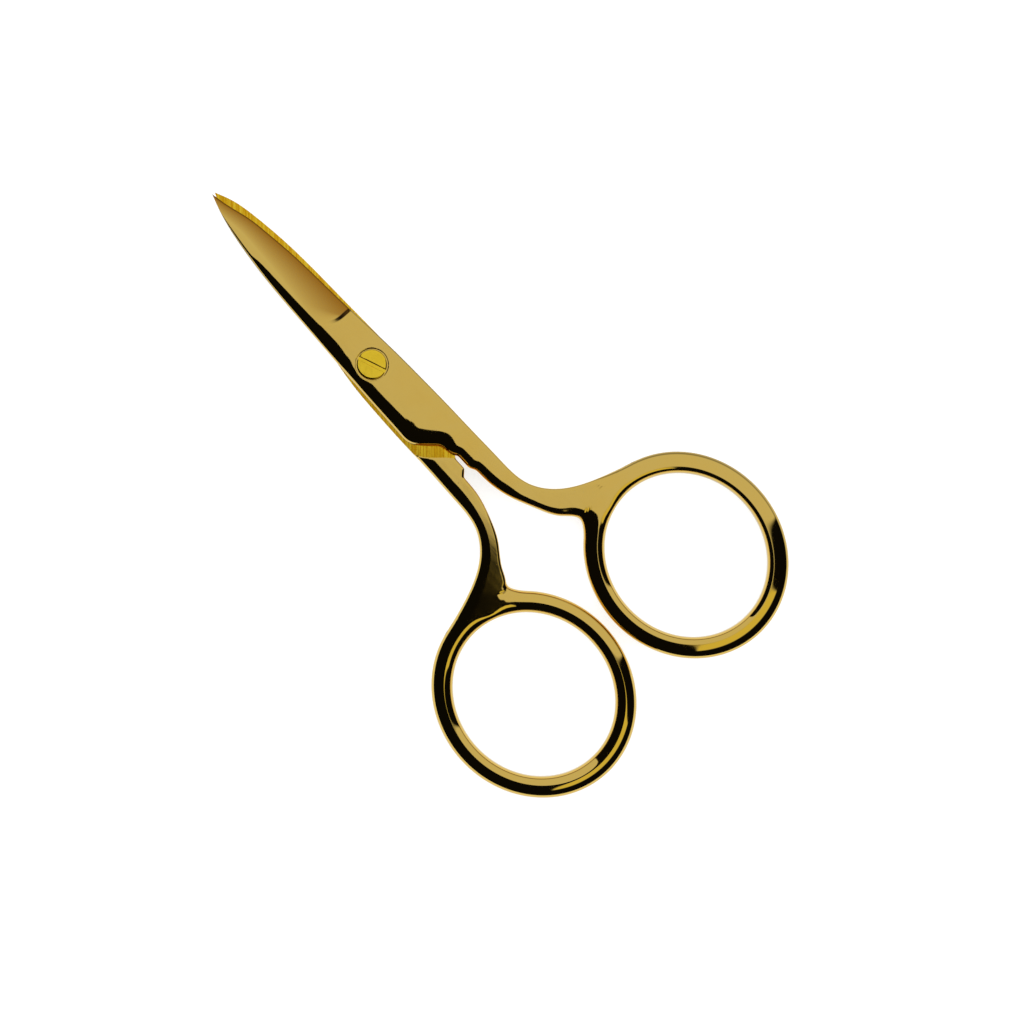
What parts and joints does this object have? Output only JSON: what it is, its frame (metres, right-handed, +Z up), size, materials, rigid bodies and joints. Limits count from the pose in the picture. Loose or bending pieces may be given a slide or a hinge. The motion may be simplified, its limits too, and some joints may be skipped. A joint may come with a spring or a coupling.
{
  "type": "embroidery scissors",
  "caption": "Small straight fine-pointed scissors with slim tapering blades, a slotted pivot screw and oval finger rings, plated in polished gold.",
  "frame": {"origin": "where the pivot's axis meets the flat outer face of the lower half, which the scissors lie on", "axes": "+Y from the pivot to the points, +X towards the front half's finger ring, +Z up along the pivot out of the screw's head"},
  "size_m": [0.0524, 0.0903, 0.0034],
  "materials": {
    "polished_gold_plate": "polished gold plate over forged steel, satin where the blades' inner faces are ground",
    "screw_gold_plate": "turned and slotted steel screw, plated in polished gold"
  },
  "bodies": {
    "back": {"back_half": "polished_gold_plate", "pivot_screw": "screw_gold_plate"},
    "front": {"front_half": "polished_gold_plate"}
  },
  "joints": [
    {"name": "pivot", "type": "hinge", "parent": "back", "child": "front", "pos_m": [0, 0, 0.0017], "axis": [0, 0, 1], "range_deg": [-1.4, 145]}
  ]
}
